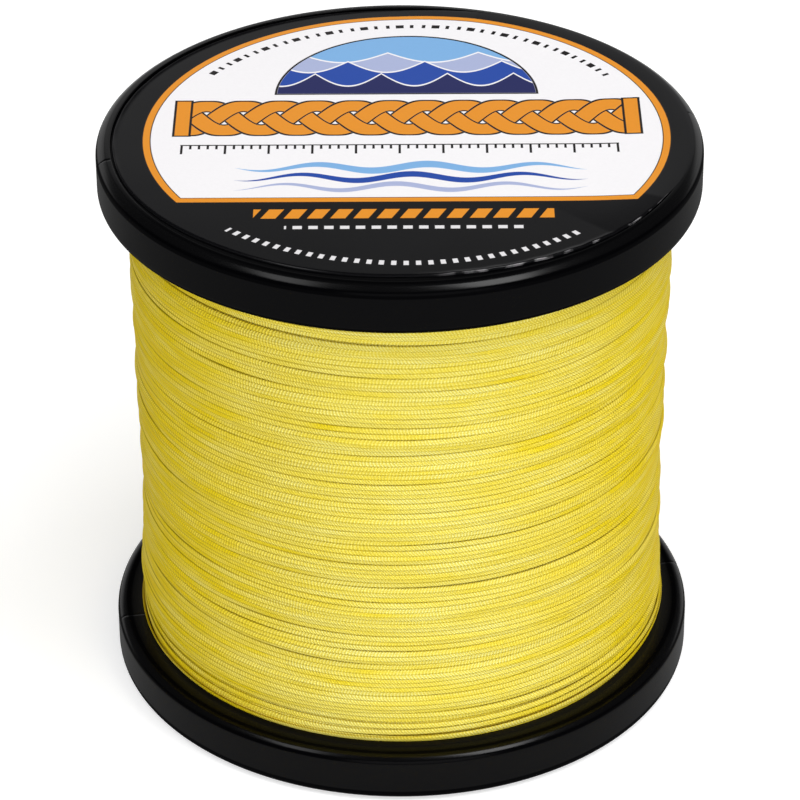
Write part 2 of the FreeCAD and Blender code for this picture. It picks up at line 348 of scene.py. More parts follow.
@dataclass(frozen=True)
class BraidedLine(Finish):
    """Yellow polyethylene braid, its stitches following each strand."""

    name: str = "yellow_braid"
    pale: Colour = linear(255, 251, 156)
    golden: Colour = linear(250, 226, 28)
    orange: Colour = linear(247, 200, 18)
    # Painted shade for the valleys between stitches, with a darker copy for the sides away from the painted
    # sheen
    low: Colour = linear(226, 203, 50)
    stitch_shade_side: Colour = linear(206, 174, 6)
    # Painted shade for the grooves between neighbouring strands
    edge: Colour = linear(184, 158, 2)
    # Direction in which the painted sheen grows, as shares of x and y
    painted_sheen_side: tuple[float, float] = (0.05, -1.0)
    reach_mm: float = 37.9
    # Height above which the winding gets a painted highlight, just under the upper flange
    top_highlight_mm: float = 75.4
    stitch_mm: float = 0.46
    slant: float = 0.85
    gloss: float = 0.45
    specular: float = 0.06

    def shade(self, tree: Tree) -> None:
        """Builds the braid, which reads along in mm and across from -1 to 1 on each strand."""
        along = tree.attribute("along")
        across = tree.attribute("across")
        row = abs(across)
        uneven = tree.noise(0.03, 1.0, along) * 5.0
        twist = tree.ramp(tree.noise(0.02, 1.0, along), 10.0, -4.0)
        lean = across * (twist * 1.3 - 0.4) + row * 0.25
        turn = (along / self.stitch_mm - lean * self.slant + uneven) * TURN
        seam = tree.math("EXPONENT", row * row * -40.0)
        raised = (tree.math("COSINE", turn) * 0.5 + 0.5) * (1.0 - seam * 0.6)
        x, y, z = tree.place_mm()
        # Painted sheen: the braid is paler towards the front right, where the key light's gloss falls, and
        # more golden on the sides
        side, front = (share / self.reach_mm for share in self.painted_sheen_side)
        painted_sheen = tree.math("MAXIMUM", x * side + y * front, 0.0) ** 3.0
        patch = tree.noise(1.0, 2.0, tree.stretched(60.0, 60.0, 900.0))
        broad = tree.noise(1.0, 1.0, tree.stretched(28.0, 28.0, 60.0))
        strand = tree.noise(0.07, 3.0, along)
        tint = (patch - 0.5) * 1.0 + (strand - 0.5) * 1.4 + (broad - 0.5) * 0.4 + 0.93 - painted_sheen * 0.62
        colour = tree.blend(self.pale, self.golden, tree.math("ADD", tint, 0.0, clamp=True))
        warm = tree.math("MULTIPLY", (tint - 1.08) * 1.6, 0.8, clamp=True)
        colour = tree.blend(colour, self.orange, warm)
        # The stitch valleys take the painted shade, darker on the sides
        colour = tree.blend(tree.blend(self.stitch_shade_side, self.low, painted_sheen), colour, 0.2 + raised * 0.8)
        # Painted shade along each strand's edges, where the grooves lie: stronger on the left, away from the
        # key light, and in patches along the line
        groove_shade_patches = tree.ramp(tree.noise(0.06, 3.0, along), 2.0, -0.5)
        groove_shade_share = tree.math("MAXIMUM", x * -0.013, 0.0) + 0.26
        colour = tree.blend(colour, self.edge, tree.ramp(row, 2.0, -0.9) * (groove_shade_share + groove_shade_patches * 0.45))
        # A pale painted highlight runs along the top of the winding, under the upper flange
        tree.surface(
            Base_Color=tree.blend(colour, self.pale, tree.inside(self.top_highlight_mm - z, 0.4) * 0.6),
            Roughness=self.gloss + (1.0 - raised) * 0.2,
            Specular_IOR_Level=self.specular,
            Normal=tree.bump(raised, 0.00012, 0.8),
        )


class Page:
    """A print, painted in layers from signed distances in millimetres."""

    def __init__(self, tree: Tree, ground: Colour, edge: float) -> None:
        """Starts from a plain ground, with an edge of the given softness for what is painted."""
        self.tree = tree
        self.colour = ground
        self.edge = edge
        self.x, self.y, _ = tree.place_mm()

    def cover(self, distance: Value) -> Value:
        """1 inside a shape and 0 outside it."""
        return self.tree.inside(distance, self.edge)

    def stain(self, tone: Colour, share: "Value | float") -> None:
        """Colours the page by a share."""
        self.colour = self.tree.blend(self.colour, tone, share)

    def paint(self, tone: Colour, distance: Value, limit: "Value | float | None" = None) -> None:
        """Paints a shape, or a share of it where limit is given."""
        share = self.cover(distance)
        self.stain(tone, share if limit is None else share * limit)

    def far(self, x: float = 0.0, y: float = 0.0) -> Value:
        """Distance from a point."""
        return self.tree.far(self.x - x, self.y - y)

    def turn(self, x: float = 0.0, y: float = 0.0) -> Value:
        """Direction from a point, in degrees."""
        return self.tree.turn(self.x - x, self.y - y)

    def box(self, x: float, y: float, wide: float, tall: float) -> Value:
        """Signed distance to an upright rectangle, given by its middle and its half sizes."""
        return self.tree.most(self.x.off(x, wide), self.y.off(y, tall))


@dataclass(frozen=True)
class PrintedFilm(Finish):
    """Film with a print, a fine grain and a thin gloss."""

    ground: Colour = linear(18, 18, 20)
    orange: Colour = linear(236, 150, 40)
    gloss: float = 0.2
    gloss_rough: float = 0.2
    edge_mm: float = 0.07
    fleck: Colour = linear(18, 18, 20)
    flecked: float = 0.06

    def shade(self, tree: Tree) -> None:
        """Prints the page and seals it in the film."""
        page = Page(tree, self.ground, self.edge_mm)
        self.draw(page)
        grain = tree.noise(2200.0)
        waves = tree.noise(55.0)
        tree.surface(
            Base_Color=tree.blend(page.colour, self.fleck, grain * self.flecked),
            Roughness=0.4 + grain * 0.08 + waves * 0.06,
            Specular_IOR_Level=0.0,
            Coat_Weight=self.gloss * (0.85 + waves * 0.3),
            Coat_Roughness=self.gloss_rough,
            Normal=tree.bump(waves * 3.0 + grain * 0.1, 0.00002, 0.6),
        )

    def draw(self, page: Page) -> None:
        """Draws the print."""
        raise NotImplementedError


@dataclass(frozen=True)
class LabelPrint(PrintedFilm):
    """Print of the upper end: a bordered white panel on black, with a plait, waves and scale marks."""

    name: str = "printed_film"
    ground: Colour = linear(7, 7, 9)
    panel: Colour = linear(252, 250, 252)
    ink: Colour = linear(24, 20, 22)
    navy: Colour = linear(28, 34, 92)
    cobalt: Colour = linear(32, 74, 168)
    sky: Colour = linear(130, 182, 232)
    mist: Colour = linear(176, 186, 222)
    # Pale ragged spots near the film's edge, only at the front right
    pale_spots: Colour = linear(150, 148, 150)
    cut: Colour = linear(26, 26, 28)
    gloss: float = 0.36
    fleck: Colour = linear(24, 20, 22)
    flecked: float = 0.05

    def draw(self, page: Page) -> None:
        """Draws the motifs in order, from the panel to the film's edge."""
        for motif in (self.framed_panel, self.sea, self.plait, self.scales, self.edge_and_spots):
            motif(page)

    def framed_panel(self, page: Page) -> None:
        """White panel cut straight at the front, with an orange border and thin dark edges."""
        far = page.far(0.96, 1.05)
        outer = page.tree.most(far - 36.45, -18.2 - page.y)
        inner = page.tree.most(far - 35.5, -17.1 - page.y)
        page.paint(self.ink, outer - 0.16)
        page.paint(self.orange, outer)
        page.paint(self.ink, inner)
        page.paint(self.panel, inner + 0.14)

    def sea(self, page: Page) -> None:
        """Half round of rolling waves over the plait, and three ribbons of water below it."""
        tree, x, y = page.tree, page.x, page.y
        dome = tree.most(page.far(1.0, 12.6) - 18.6, 12.9 - y)
        page.paint(self.ink, dome)
        shown = page.cover(dome + 0.35)
        page.stain(self.sky, shown)
        swells = (
            (24.5, 1.5, 13.0, 0.4, self.mist),
            (21.6, 1.7, 11.0, 2.1, self.cobalt),
            (17.6, 1.9, 9.4, 4.0, self.navy),
        )
        for level, swell, length, start, tone in swells:
            crest = abs(tree.math("SINE", x * (math.pi / length) + start))
            edge = y - level + (crest - 0.5) * (2 * swell)
            page.paint(self.panel, edge, shown)
            page.paint(tone, edge + 0.4, shown)
        taper = 1.0 - (x - 1.5) * (x - 1.5) * (1 / 24.0 ** 2)
        ribbons = ((-8.6, 0.95, 0.0, self.sky), (-11.4, 0.8, 0.9, self.cobalt), (-14.1, 0.65, 1.8, self.mist))
        for level, thick, start, tone in ribbons:
            line = tree.math("SINE", x * (TURN / 15.0) + start) * 0.9 + level
            page.paint(tone, abs(y - line) - taper * thick, taper > 0.0)

    def plait(self, page: Page) -> None:
        """Three orange strands plaited across the panel, each with a dark edge."""
        tree, x, y = page.tree, page.x, page.y
        middle, reach, length, half, edge = 5.9, 3.55, 15.4, 1.75, 0.34
        strands = []
        for number in range(3):
            phase = x * (TURN / length) + TURN * number / 3
            centre = tree.math("SINE", phase) * reach + middle
            steep = tree.math("COSINE", phase) * (reach * TURN / length)
            away = abs(y - centre) / tree.math("SQRT", steep * steep + 1.0)
            body = page.cover(away - (half - edge))
            strands.append((page.cover(away - half), body, tree.math("SINE", phase * 2.0)))
        limit = page.cover(x.off(1.1, 30.6))
        for number, (cover, body, height) in enumerate(strands):
            seen = cover * limit
            for other, (cover_2, _, height_2) in enumerate(strands):
                if other != number:
                    seen = seen * (1.0 - cover_2 * (height_2 > height))
            page.stain(self.ink, seen)
            page.stain(self.orange, seen * body)
        for side in (-1, 1):
            cap = page.box(1.1 + side * 31.3, middle, 1.3, 5.4)
            page.paint(self.ink, cap)
            page.paint(self.orange, cap + edge)

    def scales(self, page: Page) -> None:
        """Rows of marks where small print would stand: a ruler, a dial, slanted bars and dashes."""
        tree, x, y = page.tree, page.x, page.y
        tall = (abs((x + 3.0) % 6.0 - 3.0) < 0.6) * 1.4 + 1.3
        tick = tree.most(((x + 0.6) % 1.2).off(0.6, 0.17), y + 1.9, -1.9 - tall - y, abs(x) - 30.2)
        page.paint(self.ink, tree.math("MINIMUM", tick, page.box(0.0, -2.05, 30.2, 0.15)))
        far, turn = page.far(0.96, 0.96), page.turn(0.96, 0.96)
        dash = (turn % 3.0).off(1.5, (turn % 9.0 < 3.0) * 0.55 + 0.45)
        dial = tree.most(far.off(33.2, 0.5), turn.off(89.5, 58.5))
        page.paint(self.ink, dial, tree.inside(dash, 0.1))
        lean = (x - (y + 21.5) * 0.45) % 3.1
        page.paint(self.orange, tree.most(lean.off(1.55, 1.0), page.box(0.5, -21.5, 20.1, 1.25)))
        dashes = tree.most((x % 2.1).off(1.05, 0.62), page.box(0.5, -25.2, 15.9, 0.42))
        page.paint(self.panel, dashes, 0.85)
        stroke = ((turn + 180.0) % 2.6).off(1.3, 0.55)
        lower = tree.most(far.off(35.7, 0.55), turn.off(-91.0, 41.0))
        page.paint(self.panel, lower, tree.inside(stroke, 0.1) * 0.85)

    def edge_and_spots(self, page: Page) -> None:
        """The film's cut edge, and pale ragged spots near the edge, only at the front right."""
        tree = page.tree
        from_edge = tree.attribute("from_edge")
        page.stain(self.cut, tree.inside(from_edge - 0.02, 0.02))
        # Pale ragged spots near the edge, only between about -78 and -30 degrees
        near = tree.inside(from_edge - 0.08, 0.06) * tree.ramp(tree.noise(420.0, 4.0), 8.0, -3.7)
        page.stain(self.pale_spots, near * tree.inside(page.turn().off(-54.0, 24.0), 12.0) * 0.9)


@dataclass(frozen=True)
class RingPrint(PrintedFilm):
    """Print of the lower end: rings and a dial of marks on black."""

    name: str = "ring_print"
    pale: Colour = linear(225, 224, 226)

    def draw(self, page: Page) -> None:
        """Draws two orange rings, the dial and four arcs round the spool's axis."""
        tree = page.tree
        far, turn = page.far(), page.turn() + 180.0
        page.paint(self.orange, far.off(36.0, 0.45))
        page.paint(self.orange, far.off(11.0, 0.3))
        long = turn % 30.0 < 6.0
        dash = (turn % 6.0).off(3.0, long * 0.25 + 0.35)
        page.paint(self.pale, tree.most(far - 34.2, 33.0 - long * 1.4 - far), tree.inside(dash, 0.1))
        page.paint(self.pale, tree.most(far.off(24.0, 0.18), (turn % 90.0).off(45.0, 34.0)))


@dataclass(frozen=True)
class ClearTape(Finish):
    """Thin clear film over the line."""

    name: str = "clear_film"
    body: Colour = linear(236, 236, 226)
    cloudy: Colour = linear(214, 214, 198)
    opacity: float = 0.22

    def shade(self, tree: Tree) -> None:
        """Builds the film, a little cloudy."""
        cloud = tree.noise(140.0, 3.0)
        tree.surface(
            Base_Color=tree.blend(self.body, self.cloudy, cloud),
            Roughness=0.1 + cloud * 0.12,
            Alpha=self.opacity + cloud * 0.1,
            Normal=tree.bump(cloud, 0.00008, 0.6),
        )


@dataclass(frozen=True)
class PaleFloor(Finish):
    """White studio floor that keeps the spool's shadow."""

    name: str = "studio_floor"
    tone: float = 0.78
    lift: float = 0.46

    def shade(self, tree: Tree) -> None:
        """Builds a diffuse floor, lifted to white where it is seen or mirrored."""
        cloud = tree.noise(3.0, 3.0)
        shade = tree.blend((self.tone,) * 3, (self.tone * 0.985,) * 3, cloud)
        diffuse = tree.node("ShaderNodeBsdfDiffuse", {"Color": shade, "Roughness": 0.5})
        strength = self.lift * tree.seen()
        glow = tree.node("ShaderNodeEmission", {"Color": (1.0, 1.0, 1.0, 1.0), "Strength": strength})
        both = tree.node("ShaderNodeAddShader", {0: diffuse.outputs[0], 1: glow.outputs[0]})
        tree.node("ShaderNodeOutputMaterial", {"Surface": both.outputs[0]})


def polar(far: np.ndarray, angle: np.ndarray, height: np.ndarray) -> np.ndarray:
    """Rows of points from distances to the axis, angles in radians and heights, spread over one another."""
    parts = np.broadcast_arrays(far * np.cos(angle), far * np.sin(angle), height)
    return np.stack(parts, axis=-1).reshape(-1, 3)


def blurred(values: np.ndarray, reach: int, spread: float, ends: str = "wrap") -> np.ndarray:
    """Smooths a row of values with a bell of weights.

    Args:
        values: The row.
        reach: Steps that the bell goes to either side.
        spread: The bell's spread in steps.
        ends: "wrap" for a row that goes round, "edge" for one with two ends.

    Returns:
        The smoothed row.
    """
    bell = np.exp(-0.5 * (np.arange(-reach, reach + 1) / spread) ** 2)
    return np.convolve(np.pad(values, reach, mode=ends), bell / bell.sum(), mode="valid")


def read_off(table: dict[float, float], at: np.ndarray, period: float | None = None) -> np.ndarray:
    """Values between a table's entries, which go round where a period is given."""
    return np.interp(at, list(table), list(table.values()), period=period)


def new_mesh(name: str, points: np.ndarray, faces: Sequence = (), edges: Sequence = ()) -> Piece:
    """Makes an object in the scene from points in millimetres, joined by their numbers."""
    mesh = bpy.data.meshes.new(name)
    mesh.from_pydata((points * MM).tolist(), list(edges), list(faces))
    made = bpy.data.objects.new(name, mesh)
    bpy.context.scene.collection.objects.link(made)
    return made


def store(piece: Piece, name: str, values: np.ndarray) -> None:
    """Stores a number on each point of a mesh."""
    kept = piece.data.attributes.new(name, "FLOAT", "POINT")
    kept.data.foreach_set("value", values.astype(np.float32))


def dress(mesh: bpy.types.Mesh, finish: Finish) -> None:
    """Gives a mesh one finish."""
    mesh.materials.clear()
    mesh.materials.append(finish.material())


def finished(piece: Piece, replaced: str | None, finish: Finish | None = None) -> None:
    """Gives a piece its finish and its place on the frame.

    Args:
        piece: A mesh that is in place.
        replaced: The frame's node that the piece stands for, if any.
        finish: Its finish, unless it has one.
    """
    if finish is not None:
        dress(piece.data, finish)
    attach(piece, BODY)
    if replaced:
        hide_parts(replaced)
    LOG.info("%s: %d faces", piece.name, len(piece.data.polygons))


def rounded(points: Sequence[tuple[float, float, float]], pieces: int = 8, near: float = 0.12) -> Profile:
    """Rounds the corners of a closed outline.

    Args:
        points: Corners as radius, height and the corner's rounding.
        pieces: Straight pieces in each rounding.
        near: How far before and after each rounding one more point stands.

    Returns:
        The outline's points.
    """
    outline: Profile = []
    for number, (*corner, size) in enumerate(points):
        here = np.array(corner)
        if size <= 0:
            outline.append(tuple(here))
            continue
        before = np.array(points[number - 1][:2]) - here
        after = np.array(points[(number + 1) % len(points)][:2]) - here
        before /= np.linalg.norm(before)
        after /= np.linalg.norm(after)
        half = math.acos(float(np.clip(before @ after, -1, 1))) / 2
        leg = size / math.tan(half)
        middle = here + (before + after) / np.linalg.norm(before + after) * (size / math.sin(half))
        start, end = here + before * leg, here + after * leg
        first, last = (math.atan2(*(tip - middle)[::-1]) for tip in (start, end))
        sweep = (last - first + math.pi) % TURN - math.pi
        outline.append(tuple(start + before * near))
        for share in np.linspace(0, 1, pieces + 1):
            angle = first + sweep * share
            outline.append((middle[0] + size * math.cos(angle), middle[1] + size * math.sin(angle)))
        outline.append(tuple(end + after * near))
    return outline


def turned(name: str, outline: Profile, angles: np.ndarray) -> Piece:
    """Turns a closed outline about the axis into a closed ring.

    Args:
        name: The piece's name.
        outline: Radius and height of each point, with the solid on the left of the path.
        angles: Where the outline is repeated, in radians, over one full turn.

    Returns:
        The ring.
    """
    far, height = np.array(outline).T
    around, along = len(angles), len(far)
    faces = []
    for i in range(around):
        here, there = i * along, (i + 1) % around * along
        for j in range(along):
            k = (j + 1) % along
            faces.append((here + j, there + j, there + k, here + k))
    return new_mesh(name, polar(far, angles[:, None], height), faces)


def turn_over(piece: Piece) -> None:
    """Turns a piece over, so that it goes from one end of the spool to the other."""
    piece.data.transform(Matrix.Translation((0, 0, HEIGHT * MM)) @ Matrix.Rotation(math.pi, 4, "X"))


def smooth(piece: Piece, degrees: float = 30.0) -> None:
    """Shades a piece smooth, apart from edges sharper than an angle."""
    piece.data.polygons.foreach_set("use_smooth", [True] * len(piece.data.polygons))
    piece.data.set_sharp_from_angle(angle=math.radians(degrees))


class Recipe:
    """A geometry tree with named inputs, run on one object and kept as plain mesh."""

    def __init__(self, name: str, **inputs: str) -> None:
        """Makes the tree, whose inputs after the geometry are given by name and type."""
        self.group = bpy.data.node_groups.new(name, "GeometryNodeTree")
        self.socket("Geometry", "Geometry")
        self.socket("Geometry", "Geometry", "OUTPUT")
        self.keys = {label: self.socket(label, kind) for label, kind in inputs.items()}
        self.tree = Tree(self.group)
        self.given = self.tree.node("NodeGroupInput").outputs

    def socket(self, label: str, kind: str, way: str = "INPUT") -> str:
        """Adds a socket to the tree and gives its identifier."""
        made = self.group.interface.new_socket(label, in_out=way, socket_type="NodeSocket" + kind)
        return made.identifier

    def end(self, geometry: Socket, material: Socket) -> None:
        """Ends the tree in Realize Instances and Set Material."""
        real = self.tree.output("GeometryNodeRealizeInstances", {"Geometry": geometry})
        dressed = self.tree.output("GeometryNodeSetMaterial", {"Geometry": real, "Material": material})
        self.tree.node("NodeGroupOutput", {0: dressed})

    def run(self, piece: Piece, **values: object) -> None:
        """Runs the tree with its inputs by name and keeps the result as the piece's own mesh."""
        modifier = piece.modifiers.new(self.group.name, "NODES")
        modifier.node_group = self.group
        for label, value in values.items():
            modifier[self.keys[label]] = value
        graph = bpy.context.evaluated_depsgraph_get()
        result = bpy.data.meshes.new_from_object(piece.evaluated_get(graph), depsgraph=graph)
        piece.modifiers.clear()
        piece.data = result
        result.name = piece.name


@dataclass
class Flange:
    """One end moulding: rim, label pocket, web, ribs, boss, and plug ring with its snap ridge."""

    end: End
    radius: float = 42.0
    thickness: float = 7.25
    web: float = 2.2
    rim_wall: float = 2.05
    edge_round: float = 1.2
    facet_start: float = 40.93
    facet_drop: float = 0.76
    facet_rounds: tuple[float, float] = (1.5, 1.2)
    crown: float = 0.05
    crest_drop: float = 0.06
    crest_wall: float = 0.25
    lip_round: float = 0.1
    ledge: float = 2.25
    seat: float = 0.65
    bore: float = 6.25
    boss_wall: float = 2.75
    boss_reach: float = 12.0
    plug_radius: float = 17.1
    plug_wall: float = 2.0
    plug_height: float = 9.0
    snap_from_end: float = 3.0
    snap_rise: float = 0.4
    snap_half: float = 0.8
    rib_count: int = 12
    rib_thickness: float = 1.6
    rib_overlap: float = 0.4
    parting_degrees: float = 189.4
    parting_depth: float = 0.07
    parting_half_width: float = 0.16
    step_degrees: float = 1.25

    def outline(self) -> Profile:
        """Closed outline with the label side on z = 0 and the plug pointing up."""
        pocket = self.radius - self.rim_wall
        inner = pocket - self.ledge
        floor = self.thickness - self.web
        boss, boss_top = self.bore + self.boss_wall, self.thickness + self.boss_reach
        plug, hollow = self.plug_radius, self.plug_radius - self.plug_wall
        top = self.thickness + self.plug_height
        snap = top - self.snap_from_end
        crest = self.crest_drop if self.end is End.UPPER else 0.0
        shoulder = crest + self.crown
        corners = [
            (self.bore, self.seat, 0.4),
            (boss, self.seat, 0.15),
            (boss, floor, 0.2),
            (inner, floor, 0.2),
            (inner, self.seat, 0.12),
            (pocket, self.seat, 0.08),
            (pocket, crest, self.lip_round),
            (pocket + self.crest_wall, crest, 0.0),
            (self.facet_start, shoulder, self.facet_rounds[0]),
            (self.radius, shoulder + self.facet_drop, self.facet_rounds[1]),
            (self.radius, self.thickness, self.edge_round),
            (plug, self.thickness, 0.2),
            (plug, snap - self.snap_half, 0.0),
            (plug + self.snap_rise, snap, 0.1),
            (plug, snap + self.snap_half, 0.0),
            (plug, top, 0.6),
            (hollow, top, 0.2),
            (hollow, self.thickness, 0.2),
            (boss, self.thickness, 0.3),
            (boss, boss_top, 0.3),
            (self.bore, boss_top, 0.3),
        ]
        return rounded(corners)

    def parting(self) -> float:
        """Angle of the mould's parting mark before the upper moulding is turned over, in degrees."""
        return self.parting_degrees if self.end is End.LOWER else -self.parting_degrees

    def angles(self) -> np.ndarray:
        """Even angles with extra ones close to the two parting marks, in radians."""
        even = np.arange(0, 360, self.step_degrees)
        marks = [(self.parting() + turn) % 360 for turn in (0, 180)]
        away = np.array([0, 0.08, 0.16, 0.24, 0.34, 0.5, 0.8])
        extra = np.concatenate([mark + side * away for mark in marks for side in (-1, 1)])
        clear = [a for a in even if all(abs((a - m + 180) % 360 - 180) > 1.0 for m in marks)]
        return np.radians(np.unique(np.round(np.concatenate([clear, extra % 360]), 4)))

    def mark_parting(self, piece: Piece) -> None:
        """Sinks the mould's fine parting mark into the rim, across its side and its faces."""
        flat = np.empty(len(piece.data.vertices) * 3)
        piece.data.vertices.foreach_get("co", flat)
        points = flat.reshape(-1, 3) / MM
        far = np.hypot(points[:, 0], points[:, 1])
        turn = np.degrees(np.arctan2(points[:, 1], points[:, 0]))
        pocket = self.radius - self.rim_wall
        rim = np.clip((far - pocket) / 0.4, 0, 1)
        away = np.stack([(turn - self.parting() - t + 180) % 360 - 180 for t in (0, 180)])
        sideways = np.abs(away).min(axis=0) * math.pi / 180 * far
        mark = np.exp(-((sideways / self.parting_half_width) ** 2)) * self.parting_depth * rim
        outward = np.clip((far - (self.radius - self.edge_round)) / self.edge_round, 0, 1)
        for axis in (0, 1):
            points[:, axis] -= points[:, axis] / far * mark * outward
        face = np.sign(points[:, 2] - self.thickness / 2)
        points[:, 2] -= face * mark * (1 - outward) * (far > pocket - 0.1)
        piece.data.vertices.foreach_set("co", (points * MM).ravel())

    def ribs(self) -> Recipe:
        """Tree that repeats a rib round the boss and joins the ribs to the moulding."""
        inputs = {"Count": "Int", "Rib": "Vector", "Place": "Vector", "Material": "Material"}
        recipe = Recipe(self.end.value + "_ribs", **inputs)
        tree, given = recipe.tree, recipe.given
        rib = tree.output("GeometryNodeMeshCube", {"Size": given["Rib"]})
        placed = tree.output("GeometryNodeTransform", {"Geometry": rib, "Translation": given["Place"]})
        points = tree.output("GeometryNodePoints", {"Count": given["Count"]})
        number = Value(tree, tree.output("GeometryNodeInputIndex"))
        share = number / Value(tree, given["Count"])
        turn = tree.output("ShaderNodeCombineXYZ", {"Z": share * TURN})
        sockets = {"Points": points, "Instance": placed, "Rotation": turn}
        copies = tree.output("GeometryNodeInstanceOnPoints", sockets)
        joined = tree.node("GeometryNodeJoinGeometry", {"Geometry": copies})
        tree.feed(joined.inputs["Geometry"], given["Geometry"])
        recipe.end(joined.outputs[0], given["Material"])
        return recipe

    def build(self, finish: BlackPlastic) -> None:
        """Makes the moulding at its own end of the spool."""
        piece = turned(self.end.value + "_flange_moulding", self.outline(), self.angles())
        self.mark_parting(piece)
        start = self.bore + self.boss_wall - self.rib_overlap
        reach = self.radius - self.rim_wall - self.ledge + self.rib_overlap - start
        depth = self.thickness - self.web / 2 - self.seat
        self.ribs().run(
            piece,
            Count=self.rib_count,
            Rib=(reach * MM, self.rib_thickness * MM, depth * MM),
            Place=((start + reach / 2) * MM, 0.0, (self.seat + depth / 2) * MM),
            Material=finish.material(),
        )
        if self.end is End.UPPER:
            turn_over(piece)
        smooth(piece)
        finished(piece, self.end.value + "_flange", finish)


@dataclass
class Label:
    """Printed disc or ring on a flange's ledge.

    The upper one was stuck on off centre: it lies over the rim's lip on the right, leaves some of
    the ledge uncovered at the front and left, and its front edge curls up a little.
    """

    end: End
    radius: float = 39.4
    hole: float = 0.0
    thickness: float = 0.3
    thin: float = 0.05
    recess: float = 0.35
    crest: float = 83.145
    crest_radius: float = 40.2
    crown_slope: float = 0.056
    climb: tuple[float, float] = (27.0, 39.95)
    curl_width: float = 0.7
    edge_drop: float = 0.14
    edge_width: float = 0.2
    around: int = 720

    def edge(self, degrees: np.ndarray) -> np.ndarray:
        """Radius of the film's edge at each angle, in millimetres from the spool's axis."""
        if self.end is End.LOWER:
            return np.full_like(degrees, self.radius)
        radii = {
            -180: 39.7, -160: 39.5, -144: 38.9, -129: 38.3, -110: 38.2, -90: 37.9, -75: 38.1, -60: 38.5,
            -45: 39.0, -32: 39.65, -25: 39.75, -17: 40.45, 0: 40.75, 45: 40.65, 62: 40.45, 70: 39.8,
            90: 39.78, 135: 39.72,
        }
        even = blurred(read_off(radii, degrees, 360), 24, 7.0)
        ragged = 0.04 * np.sin(np.radians(degrees * 47)) + 0.035 * np.sin(np.radians(degrees * 83 + 60))
        return even + ragged * read_off({-90: 0, -75: 1, -40: 1, -28: 0}, degrees, 360)

    def over_lip(self, degrees: np.ndarray) -> np.ndarray:
        """1 where the film climbs onto the rim's lip, 0 where it lies flat."""
        if self.end is End.LOWER:
            return np.zeros_like(degrees)
        return read_off({-44: 0, -27: 1, 73: 1, 90: 0}, degrees, 360)

    def curl(self, degrees: np.ndarray) -> np.ndarray:
        """How far the film's edge curls up at each angle, in millimetres."""
        if self.end is End.LOWER:
            return read_off({-30: 0, 0: 0.08, 25: 0}, degrees, 360)
        lifts = {
            -88: 0, -76: 0.12, -52: 0.12, -38: 0, 88: 0, 110: 0.15, 165: 0.15, 182: 0.1, 190: 0.08, 198: 0,
        }
        plain = read_off(lifts, degrees, 360)
        waves = 1 + 0.25 * np.sin(np.radians(degrees * 31)) * np.sin(np.radians(degrees * 13 + 40))
        return np.minimum(plain * waves, self.recess - 0.03)

    def build(self, finish: PrintedFilm) -> None:
        """Makes the label from rings that stand closer towards its edge."""
        degrees = np.arange(self.around) * 360 / self.around
        edge, climbs, curl = self.edge(degrees), self.over_lip(degrees), self.curl(degrees)
        inward = (
            30, 22, 14, 8, 5, 3.6, 2.9, 2.4, 2.0, 1.7, 1.4, 1.15, 0.95, 0.75, 0.55, 0.35, 0.18, 0.06, 0.0,
        )
        rings = [edge - step for step in inward if step < self.radius - self.hole - 1.0]
        if self.hole:
            rings.insert(0, np.full_like(edge, self.hole))
        far = np.array(rings)
        flat = HEIGHT - self.recess
        start, end = self.climb
        share = np.clip((far - start) / (end - start), 0, 1)
        share = share * share * (3 - 2 * share)
        fall = self.crown_slope * np.maximum(far - self.crest_radius, 0)
        over = (self.crest + self.thin - flat) * share - fall
        lifted = curl * np.clip((far - edge + self.curl_width) / self.curl_width, 0, 1) ** 2
        near = np.clip((far - edge + self.edge_width) / self.edge_width, 0, 1) ** 2
        top = flat + np.maximum(lifted, climbs * over) - self.edge_drop * (1 - climbs) * near
        thick = self.thickness - (self.thickness - self.thin) * climbs * share
        sides = [polar(far, np.radians(degrees), z) for z in (top, top - thick)]
        middle = [] if self.hole else [(0, 0, flat), (0, 0, flat - self.thickness)]
        points = np.concatenate([*sides, np.array(middle).reshape(-1, 3)])
        piece = new_mesh(self.end.value + "_label_film", points, self.faces(len(rings)))
        inside = np.full(len(middle), self.radius)
        store(piece, "from_edge", np.concatenate([*(edge - far), *(edge - far), inside]))
        if self.end is End.LOWER:
            turn_over(piece)
        smooth(piece, 40.0)
        finished(piece, ("top" if self.end is End.UPPER else "bottom") + "_label", finish)

    def faces(self, count: int) -> list[tuple[int, ...]]:
        """Joins the rings of the upper and the lower side into a closed film.

        Args:
            count: Rings on each side, closed by a point in the middle where there is no hole.

        Returns:
            The faces.
        """
        around = self.around
        steps = [(i, (i + 1) % around) for i in range(around)]
        pairs = [(ring + 1, ring) for ring in range(count - 1)]
        pairs += [(count + ring, count + ring + 1) for ring in range(count - 1)]
        pairs.append((2 * count - 1, count - 1))
        if self.hole:
            pairs.append((0, count))
        faces = []
        for first, second in pairs:
            a, b = first * around, second * around
            faces += [(a + i, a + j, b + j, b + i) for i, j in steps]
        if not self.hole:
            lower, middle = count * around, 2 * count * around
            for i, j in steps:
                faces += [(middle, i, j), (middle + 1, lower + j, lower + i)]
        return faces


